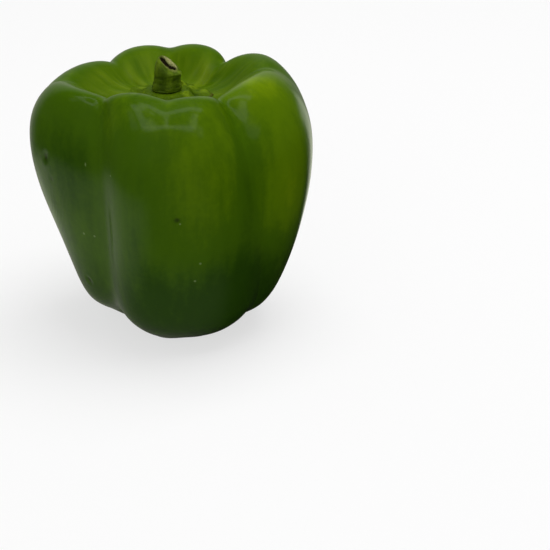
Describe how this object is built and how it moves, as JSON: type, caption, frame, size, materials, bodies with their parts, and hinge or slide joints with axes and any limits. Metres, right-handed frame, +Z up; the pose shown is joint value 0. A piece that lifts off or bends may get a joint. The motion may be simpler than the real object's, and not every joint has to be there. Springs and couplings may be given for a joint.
{
  "type": "bell pepper",
  "caption": "Blocky green bell pepper with uneven lobes, a sunken top, a ribbed calyx and a short slanted cut stalk, standing on its feet.",
  "frame": {"origin": "middle of the object's outline seen from above, on the surface that its feet stand on", "axes": "+Z up along the stalk, -Y towards the front lobe, +X towards the right lobe"},
  "size_m": [0.0866, 0.0836, 0.0849],
  "materials": {
    "fruit_skin": "waxy green skin with a soft gloss, darker low down and on the left, yellower on the shoulders",
    "calyx": "dull yellow green with ribs and a thin brown edge",
    "stalk": "dull dark green stem with pale ridges and a cream and brown cut end"
  },
  "bodies": {
    "root": {"fruit": "fruit_skin", "calyx": "calyx", "stalk": "stalk"}
  },
  "joints": []
}
